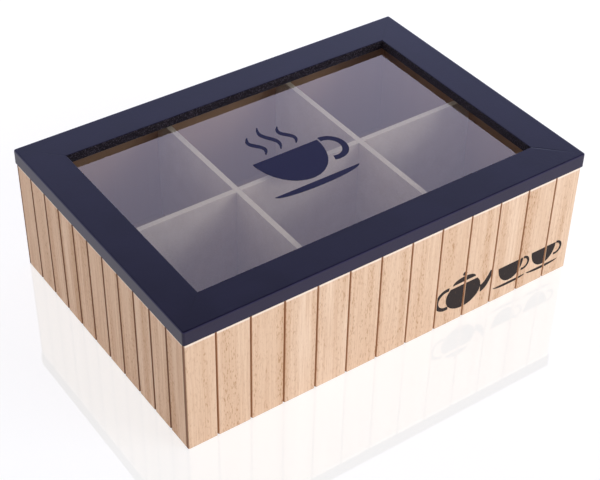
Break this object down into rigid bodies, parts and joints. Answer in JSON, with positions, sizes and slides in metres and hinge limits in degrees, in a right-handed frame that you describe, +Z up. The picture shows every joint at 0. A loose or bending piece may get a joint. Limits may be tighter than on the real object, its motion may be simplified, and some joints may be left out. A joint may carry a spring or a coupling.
{
  "type": "wooden tea caddy",
  "caption": "Low rectangular wooden tea box with grooved slat-look sides, a crossed divider insert and a hinged dark painted lid frame with a glass pane.",
  "frame": {"origin": "middle of the underside of the box, on the surface that it stands on", "axes": "+X along the front to the right, +Y to the back where the hinges are, +Z up"},
  "size_m": [0.24, 0.1675, 0.075],
  "materials": {
    "slat_wood": "open-pored, matt",
    "bottom_board": "plain board, matt",
    "divider_board": "plain board, matt",
    "lid_paint": "dark blue satin paint",
    "pane_glass": "clear float glass",
    "pane_glue": "dull set glue",
    "hinge_brass": "bright plated",
    "hinge_pin_steel": "plated",
    "screw_brass": "plated"
  },
  "bodies": {
    "box": {"front_panel": "slat_wood", "back_panel": "slat_wood", "left_panel": "slat_wood", "right_panel": "slat_wood", "bottom_panel": "bottom_board", "long_divider": "divider_board", "left_cross_divider": "divider_board", "right_cross_divider": "divider_board", "left_hinge_box_leaf": "hinge_brass", "right_hinge_box_leaf": "hinge_brass", "left_hinge_pin": "hinge_pin_steel", "right_hinge_pin": "hinge_pin_steel", "hinge_box_screws": "screw_brass"},
    "lid": {"lid_front_rail": "lid_paint", "lid_back_rail": "lid_paint", "lid_left_rail": "lid_paint", "lid_right_rail": "lid_paint", "glass_pane": "pane_glass", "pane_bead": "pane_glue", "left_hinge_lid_leaf": "hinge_brass", "right_hinge_lid_leaf": "hinge_brass", "hinge_lid_screws": "screw_brass"}
  },
  "joints": [
    {"name": "lid_hinge", "type": "hinge", "parent": "box", "child": "lid", "pos_m": [0, 0.0835, 0.067], "axis": [-1, 0, 0], "range_deg": [0, 180]}
  ]
}
